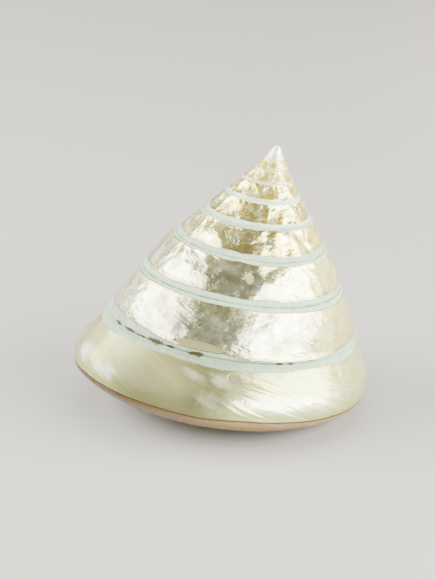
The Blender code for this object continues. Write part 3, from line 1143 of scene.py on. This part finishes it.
class NacreGroup:
    """The nacre's node group while it is made: zones and noises first, then what they colour."""

    def __init__(self, look: NacreFinish) -> None:
        """Start the group with what its parts share.

        Args:
            look: finish whose values it takes.
        """
        self.look = look
        self.bench = bench = new_group("nacre")
        self.place = bench.place()
        turn, down, _ = bench.parts(bench.uv(WALL_UV))
        below, above, _ = bench.parts(bench.uv(SEAM_UV))
        self.turn, self.down, self.below, self.above = turn, down, below, above
        self.column = turn + down * GrowthLaw.shear
        self.body = step(turn, *look.body_from)
        self.last = step(turn, *look.last_from)
        self.early = 1.0 - step(turn, *look.early_until)
        self.satin = step(turn, *look.satin_from) * (1.0 - step(turn, *look.satin_until))
        growth_lines = bench.vector((turn + down * 0.235) * 44.0, down * 1.7, turn * 0.7)
        self.silk = bench.noise(growth_lines, *look.grain)
        self.ringed = bench.noise(bench.vector(turn * 6.0, below * 1.6), *look.grain)
        self.clouds = bench.noise(self.place, *look.cloud_grain)
        self.mottle = bench.noise(self.place, *look.mottle_grain)
        self.speck = bench.noise(self.place, *look.speck_grain)
        self.tone = held((bench.noise(self.place, *look.tone_grain) - 0.32) / 0.40)
        self.clouded = step(turn, *look.clouded_from)
        # Painted reflection: the right edge of every whorl is painted cream for the reflection of a warm,
        # lit floor, and its bump is calmed there.
        self.mellow = step(cos((turn - 0.075) * (2.0 * math.pi)), 0.80, 0.96) * self.clouded
        self.polished = bell(turn - 1.195, 0.07) * 0.85
        past_rim = bench.curve(turn, look.rim_edge, look.rim_full) - above
        self.past_rim = past_rim + (self.ringed - 0.5) * 0.12

    def painted(self, start: object, *layers: tuple[Value, object]) -> bpy.types.NodeSocket:
        """Colour with layers laid over it, each a share and a colour."""
        for share, colour in layers:
            start = self.bench.blend(share, start, colour)
        return start

    def spire(self) -> bpy.types.NodeSocket:
        """Colour of the spire: taupe and silver clouds, creamier at the seams, golden at the top, with a
        painted dark reflection down each whorl's middle and a painted warm reflection on its right edge.
        """
        look, bench, tone, early = self.look, self.bench, self.tone, self.early
        gold = step(bench.noise(self.place, *look.gold_grain), 0.43, 0.56) * early
        flecks = bench.noise(bench.vector(self.column * 190.0, self.below * 1.3), *look.fleck_grain)
        ruled = step(self.ringed, 0.52, 0.62) * step(self.down, 0.5, 0.8)
        # Painted shade: umber down the middle of every whorl, where the nacre faces the dim room, stands
        # in for its dark reflection; darkest sets its turn.
        darkest = mix(0.300, 0.333, self.last)
        dark_reflection = step(cos((self.turn - darkest) * (2.0 * math.pi)), 0.84, 0.985)
        return self.painted(
            look.taupe,
            (tone, look.silver),
            (step(self.clouds, 0.45, 0.65) * 0.35, look.pale_green),
            (most(bell(self.below, 3.0), bell(self.above, 2.4)) * 0.55, look.cream),
            (early * 0.55, look.cream),
            (gold * 0.95, look.gold),
            (step(flecks, 0.54, 0.74) * 0.5, look.umber),
            (ruled * 0.45, look.umber),
            (self.mellow * 0.7, look.cream),
            (dark_reflection * (0.30 + 0.55 * (1.0 - tone)) * self.clouded, look.umber),
            (1.0 - step(self.turn, *look.tip_until), look.tip_white),
        )

    def whorl(self) -> bpy.types.NodeSocket:
        """Colour of the body whorl: green silk, polished on the right, with painted shade in the middle
        that darkens towards the bottom.
        """
        look, turn, down, dull = self.look, self.turn, self.down, 1.0 - self.tone
        high = 1.0 - step(down + (self.silk - 0.5) * 0.5, 0.40, 0.70)
        # Painted shade in olive where the body whorl faces the dim room in front, mixed with random tone.
        shade_and_tone = bell(turn - 1.315, 0.035) * bell(down - 0.62, 0.30) * 0.8 + dull * 0.35
        # Painted shade in the middle of the body whorl, deeper towards the bottom.
        dim = step(turn, *look.dim_from) * (1.0 - step(turn, *look.dim_until) * (1.6 - down))
        deep = dim * most(step(down, 0.20, 0.75) * 0.62, bell(turn - 1.312, 0.032) * 0.50)
        rim_zone = bell(self.past_rim + 0.5, 0.95) * (0.45 + 0.5 * step(self.ringed, 0.4, 0.6))
        return self.painted(
            look.body,
            (step(self.silk, 0.3, 0.7) * 0.55, look.pale_green),
            (step(self.clouds, 0.45, 0.7) * 0.35, look.cream),
            (self.satin * 0.65, look.satin_green),
            (dim * (0.80 + 0.20 * dull), look.dim_green),
            (self.polished * (1.0 - 0.8 * high), look.gloss_pearl),
            (self.polished * high * 0.55, look.satin_green),
            (step(turn, *look.left_end) * (0.5 + 0.5 * step(self.clouds, 0.4, 0.6)), look.left_cream),
            (shade_and_tone, look.olive),
            (rim_zone * (1.0 - 0.65 * dim), look.rim_green),
            (deep, look.deep_green),
        )

    def relief(self) -> Field:
        """Height of the bump in millimetres, without the marks."""
        look, bench, body, turn = self.look, self.bench, self.body, self.turn
        fine_silk = bench.noise(bench.vector(self.column * 330.0, self.down * 5.0), *look.grain)
        lumpy = (self.clouds - 0.5) * mix(0.30, 0.24, body)
        hammered = (bench.noise(self.place, *look.hammer_grain) - 0.5) * mix(0.25, 0.10, body)
        dimpled = (self.mottle - 0.5) * mix(0.038, 0.014, body) + (self.speck - 0.5) * 0.003
        streaks = (self.silk - 0.5) * mix(mix(0.03, 0.15, self.last), 0.24 + 0.14 * self.polished, body)
        fine = mix(mix(0.003, 0.005, self.last), mix(0.006, 0.003, self.satin), body)
        rings = (self.ringed - 0.5) * mix(0.018, 0.006, body)
        grains = (bench.noise(self.place, *look.fine_grain) - 0.5) * 0.16 * self.early
        facets = step(turn, 0.19, 0.50) * 2.4 + step(turn, -0.85, -0.73) * 0.9
        facets = (facets + bell(turn + 1.69, 0.06) * 0.5) * (1.0 - body)
        calm = 1.0 - 0.7 * self.mellow * (1.0 - body)
        height = lumpy + grains + facets + hammered + dimpled + streaks + (fine_silk - 0.5) * fine + rings
        return height * calm

    def finished(self) -> bpy.types.NodeTree:
        """The group: colour, roughness, metallic, coat and height."""
        look, bench, body, past_rim = self.look, self.bench, self.body, self.past_rim
        satin, turn = self.satin, self.turn
        colour = bench.blend(body, self.spire(), self.whorl())
        rough = mix(*look.roughness, step(self.mottle, 0.35, 0.7)) + 0.05 * self.last
        rough = mix(rough, mix(0.24 + 0.10 * self.silk, 0.48, satin), body)
        metallic = mix(mix(0.40, 0.82, step(turn, -5.5, -2.5)), mix(0.72, 0.15, satin), body)
        # Marks are real wear, stains and flaws, and the sheens among them painted highlights; all are
        # made duller.
        wear_and_sheen = 0.0
        dents = 0.0
        for mark in look.marks:
            loose = 1.6 * max(mark.softness - 0.3, 0.0)
            ragged = (self.speck - 0.5) * 0.2 + (self.mottle + self.silk - 1.0) * loose
            share = mark.mask(turn, self.below, ragged)
            colour = bench.blend(share, colour, mark.colour)
            wear_and_sheen = most(share, wear_and_sheen)
            dents = dents + share * mark.dent
        # Below the painted rim line the wall takes the base's colour, which near the rim is painted shade
        # and a painted reflection of a wooden floor.
        under = step(past_rim, 0.0, 0.10) * body
        base = bench.use(look.base.group())
        glinting = bell(turn - 1.46, 0.07) + bell(turn - 1.205, 0.04) * 0.7
        glinting = bell(past_rim - 0.04, 0.09) * (0.06 + 0.7 * glinting)
        colour = self.painted(
            colour,
            (under, base["Colour"]),
            (bell(past_rim - 0.25, 0.24) * body * 0.9, look.rim_dark),
            (glinting * body, look.glint),
        )
        return bench.put_out(
            Colour=colour,
            Roughness=mix(mix(rough, 0.42, wear_and_sheen), base["Roughness"], under),
            Metallic=mix(metallic * (1.0 - wear_and_sheen), 0.05, under),
            Coat=mix(0.45, 0.04, most(most(under, satin * body), wear_and_sheen)),
            Height=(self.relief() - dents) * MM,
        )


@dataclass(frozen=True)
class ChamberFinish:
    """Unworked nacre inside the body chamber."""

    pearl: Colour = (0.76, 0.75, 0.70)
    rose: Colour = (0.74, 0.64, 0.58)
    cloud_grain: Grain = (160.0, 3.0, 0.55)
    fine_grain: Grain = (900.0, 3.0, 0.6)

    def sockets(self, bench: NodeBench) -> dict[str, object]:
        """Values of the shader's sockets."""
        clouds = bench.noise(bench.place(), *self.cloud_grain)
        fine = bench.noise(bench.place(), *self.fine_grain)
        return {
            "Base Color": bench.blend(step(clouds, 0.35, 0.65), self.pearl, self.rose),
            "Roughness": mix(0.24, 0.36, fine),
            "Metallic": 0.35,
            "Coat Weight": 0.3,
            "Coat Roughness": 0.12,
            "Height": ((clouds - 0.5) * 0.08 + (fine - 0.5) * 0.01) * MM,
        }


@dataclass
class TopShell:
    """The whole shell as one closed piece."""

    law: GrowthLaw = field(default_factory=GrowthLaw)
    relief: Relief = field(default_factory=Relief)
    pose: Pose = field(default_factory=Pose)
    cap_rings: int = 4
    cap_bluntness: float = 1.9
    cap_lift: float = 0.00035
    cap_uv: Span = (-7.2, 0.5)
    no_seam: float = 9.0
    sharp_angle: float = math.radians(50.0)

    def tip(self, node: bpy.types.Object) -> Vector:
        """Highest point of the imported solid."""
        return max((v.co for v in node.data.vertices), key=lambda co: co.z).copy()

    def wall_parts(self, wall: SpiralWall,
                   mesh: bpy.types.Mesh) -> tuple[PieceParts, np.ndarray, np.ndarray]:
        """Points of the wall with the rows that share a suture made one.

        Args:
            wall: sizes of the lattice.
            mesh: mesh made by the tree.

        Returns:
            The piece so far, the new number of each old point, and the distances from the sutures
            at each corner of a face.
        """
        count = len(mesh.vertices)
        points = np.empty(count * 3, np.float32)
        mesh.vertices.foreach_get("co", points)
        points = points.reshape(-1, 3).astype(float)
        old = np.arange(count)
        for column in range(wall.jump, wall.columns + 1):
            old[wall.number(column, 0)] = wall.number(column - wall.jump, wall.rows)
        kept = np.unique(old)
        new = np.full(count, -1)
        new[kept] = np.arange(len(kept))
        number = new[old]
        parts = PieceParts()
        parts.add_points(points[kept])
        loops = np.empty(len(mesh.loops), np.int32)
        mesh.loops.foreach_get("vertex_index", loops)
        pairs = np.empty(len(mesh.loops) * 2, np.float32)
        mesh.attributes[WALL_UV].data.foreach_get("vector", pairs)
        pairs = pairs.reshape(-1, 2)
        seams = np.empty(len(mesh.loops) * 2, np.float32)
        mesh.attributes[SEAM_UV].data.foreach_get("vector", seams)
        for polygon in mesh.polygons:
            corners = range(polygon.loop_start, polygon.loop_start + polygon.loop_total)
            parts.add_face(
                tuple(int(number[loops[k]]) for k in corners),
                Slot.NACRE.value,
                tuple((float(pairs[k][0]), float(pairs[k][1])) for k in corners),
            )
        return parts, number, seams.reshape(-1, 2)

    def cap(self, wall: SpiralWall, parts: PieceParts, number: np.ndarray) -> None:
        """Close the tip with a low dome.

        Args:
            wall: sizes of the lattice.
            parts: piece to add to.
            number: new number of each point of the wall.
        """
        loop = [int(number[wall.number(column, 0)]) for column in range(wall.jump + 1)]
        loop += [int(number[wall.number(0, row)]) for row in range(wall.rows - 1, 0, -1)]
        points = np.concatenate(parts.points)[loop]
        top = np.array([0.0, 0.0, self.pose.tip_height + self.cap_lift])
        before = loop
        for k in range(1, self.cap_rings):
            angle = 0.5 * math.pi * k / self.cap_rings
            width = math.cos(angle)
            ring = points * width
            ring[:, 2] = points[:, 2] + (top[2] - points[:, 2]) * (1.0 - width ** self.cap_bluntness)
            now = parts.add_points(ring)
            plain = [self.cap_uv] * (len(loop) + 1)
            parts.add_strip(now + now[:1], before + before[:1], Slot.NACRE.value, plain, plain)
            before = now
        end = parts.add_points(top[None])[0]
        for k, one in enumerate(before):
            ahead = before[(k + 1) % len(before)]
            parts.add_face((end, ahead, one), Slot.NACRE.value, (self.cap_uv,) * 3)

    def build(self, finishes: dict[Slot, bpy.types.Material], node: bpy.types.Object) -> bpy.types.Object:
        """Make the piece.

        Args:
            finishes: material of each slot.
            node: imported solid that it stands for.

        Returns:
            The piece's object.
        """
        wall = SpiralWall(self.law, self.relief)
        mesh = wall.mesh(finishes[Slot.NACRE])
        parts, number, seams = self.wall_parts(wall, mesh)
        bpy.data.meshes.remove(mesh)
        log.info("wall: %d faces", len(parts.faces))
        self.cap(wall, parts, number)
        base_law = BaseLaw(self.law)
        base = ShellBase(base_law)
        first = wall.columns - wall.jump
        columns = range(first, wall.columns + 1)
        rim_numbers = [int(number[wall.number(column, wall.rows)]) for column in columns]
        rim_turns = np.array([
            self.law.lip_turn - self.law.shear - (wall.columns - column) / wall.columns_per_turn
            for column in columns
        ])
        lines = base.build(parts, rim_numbers, rim_turns)
        outline = [int(number[wall.number(wall.columns, row)]) for row in range(wall.rows + 1)]
        outline += lines[-1][1:]
        outline += [lines[0][row] for row in range(base.rows - 1, 0, -1)]
        BodyChamber(base_law, wall.rows, base.rows).build(parts, outline)
        log.info("shell: %d faces", len(parts.faces))
        return self.piece(parts, seams, finishes, node)

    def piece(self, parts: PieceParts, seams: np.ndarray, finishes: dict[Slot, bpy.types.Material],
              node: bpy.types.Object) -> bpy.types.Object:
        """Turn the parts into an object in the resting pose.

        Args:
            parts: points and faces.
            seams: distances from the sutures at the corners of the wall's faces.
            finishes: material of each slot.
            node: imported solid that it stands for.

        Returns:
            The object, at the origin and unturned.
        """
        mesh = bpy.data.meshes.new("pearl_shell")
        points = self.pose.lay(np.concatenate(parts.points), self.tip(node))
        mesh.from_pydata(points.tolist(), [], parts.faces)
        for slot in Slot:
            mesh.materials.append(finishes[slot])
        mesh.polygons.foreach_set("material_index", parts.slots)
        spiral = mesh.uv_layers.new(name=WALL_UV)
        pairs = np.array([pair for corners in parts.corners for pair in corners], np.float32)
        spiral.uv.foreach_set("vector", pairs.ravel())
        seam = mesh.uv_layers.new(name=SEAM_UV)
        rest = np.full((len(pairs) - len(seams), 2), self.no_seam, np.float32)
        seam.uv.foreach_set("vector", np.concatenate([seams, rest]).ravel())
        mesh.validate()
        mesh.update()
        mesh.shade_smooth()
        mesh.set_sharp_from_angle(angle=self.sharp_angle)
        piece = bpy.data.objects.new("pearl_shell", mesh)
        bpy.context.scene.collection.objects.link(piece)
        return piece


@dataclass(frozen=True)
class Softbox:
    """Rectangular light some way from the shell, facing it or the floor beneath the light."""

    name: str
    direction: tuple[float, float, float]
    reach: float
    size: Span
    watts: float
    tint: Colour = (1.0, 0.99, 0.97)
    downward: bool = False
    spread: float = math.pi


SOFTBOXES = (
    Softbox("left_softbox", (-0.826, -0.01, 0.56), 0.55, (0.70, 0.30), 12.5),
    Softbox("right_softbox", (0.80, -0.46, 0.38), 0.55, (0.88, 0.34), 20.0),
    Softbox("top_softbox", (0.05, 0.35, 0.95), 0.7, (0.5, 0.3), 2.0),
    Softbox("back_right_strip", (0.72, 0.62, 0.12), 0.55, (0.42, 0.12), 0.55, (1.0, 0.90, 0.66)),
    Softbox("back_left_strip", (-0.60, 0.72, 0.12), 0.55, (0.42, 0.12), 0.35, (1.0, 0.92, 0.72)),
    Softbox("warm_pool", (0.27, 0.24, 0.10), 0.37, (0.22, 0.22), 1.6, (1.0, 0.78, 0.38), True, 1.8),
)


@dataclass
class Studio:
    """Camera, soft lights and the pale floor."""

    softboxes: tuple[Softbox, ...] = SOFTBOXES
    target: tuple[float, float, float] = (-0.00064, 0.00301, 0.02472)
    distance: float = 0.55
    elevation: float = math.radians(20.0)
    lens: float = 155.71
    sensor: float = 36.0
    near_clip: float = 0.01
    light_centre: float = 0.03
    floor_colour: Colour = (0.40, 0.39, 0.37)
    floor_shade: float = 0.97
    floor_grain: Grain = (60.0, 3.0, 0.5)
    floor_roughness: float = 0.7
    room_colour: Colour = (1.0, 0.96, 0.80)
    room_front: float = 0.10
    room_back: float = 1.1
    room_turn: Span = (-0.55, 0.05)

    def camera(self) -> None:
        """Place the camera and make it the scene's own."""
        forward = Vector((0.0, math.cos(self.elevation), -math.sin(self.elevation)))
        data = bpy.data.cameras.new("camera")
        data.sensor_fit = "VERTICAL"
        data.sensor_height = self.sensor
        data.lens = self.lens
        data.clip_start = self.near_clip
        camera = bpy.data.objects.new("camera", data)
        camera.location = Vector(self.target) - forward * self.distance
        camera.rotation_euler = forward.to_track_quat("-Z", "Y").to_euler()
        bpy.context.scene.collection.objects.link(camera)
        bpy.context.scene.camera = camera

    def light(self, box: Softbox) -> None:
        """Add a softbox."""
        data = bpy.data.lights.new(box.name, "AREA")
        data.shape = "RECTANGLE"
        data.size, data.size_y = box.size
        data.energy = box.watts
        data.color = box.tint
        data.spread = box.spread
        lamp = bpy.data.objects.new(box.name, data)
        toward = Vector(box.direction).normalized()
        lamp.location = Vector((0.0, 0.0, self.light_centre)) + toward * box.reach
        if not box.downward:
            lamp.rotation_euler = toward.to_track_quat("Z", "Y").to_euler()
        bpy.context.scene.collection.objects.link(lamp)

    def lights(self) -> None:
        """Two large softboxes, weaker lights overhead and behind, and a dim room."""
        for box in self.softboxes:
            self.light(box)
        world = bpy.data.worlds.new("room")
        world.use_nodes = True
        tree = world.node_tree
        bench = NodeBench(tree)
        _, away, _ = bench.parts(bench.node("ShaderNodeTexCoord").outputs["Generated"])
        back = tree.nodes["Background"]
        back.inputs["Color"].default_value = (*self.room_colour, 1.0)
        strength = mix(self.room_front, self.room_back, step(away, *self.room_turn))
        feed(tree, back.inputs["Strength"], strength)
        bpy.context.scene.world = world

    def floor_sockets(self, bench: NodeBench) -> dict[str, object]:
        """Values of the shader's sockets for the floor."""
        darker = tuple(part * self.floor_shade for part in self.floor_colour)
        grain = bench.noise(bench.place(), *self.floor_grain)
        return {
            "Base Color": bench.blend(grain, self.floor_colour, darker),
            "Roughness": self.floor_roughness,
        }

    def floor(self) -> None:
        """Plain pale floor."""
        mesh = bpy.data.meshes.new("floor")
        corners = [(-1.6, -1.0, 0.0), (1.6, -1.0, 0.0), (1.6, 2.4, 0.0), (-1.6, 2.4, 0.0)]
        mesh.from_pydata(corners, [], [(0, 1, 2, 3)])
        mesh.materials.append(surface("pale_floor", self.floor_sockets))
        floor = bpy.data.objects.new("floor", mesh)
        bpy.context.scene.collection.objects.link(floor)


def main() -> None:
    """Build the scene in order and report each piece."""
    logging.basicConfig(level=logging.INFO, format="%(name)s: %(message)s")
    studio = Studio()
    studio.camera()
    finishes = {
        Slot.NACRE: surface("nacre_wall", NacreFinish(BandFinish(), BaseFinish()).sockets),
        Slot.BASE: surface("nacre_base", BaseFinish().sockets),
        Slot.CHAMBER: surface("nacre_chamber", ChamberFinish().sockets),
    }
    shell = TopShell().build(finishes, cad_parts["shell"])
    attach(shell, "root")
    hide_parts("shell")
    log.info("shell: %d points", len(shell.data.vertices))
    studio.floor()
    studio.lights()
    log.info("studio ready")


if __name__ == "__main__":
    main()
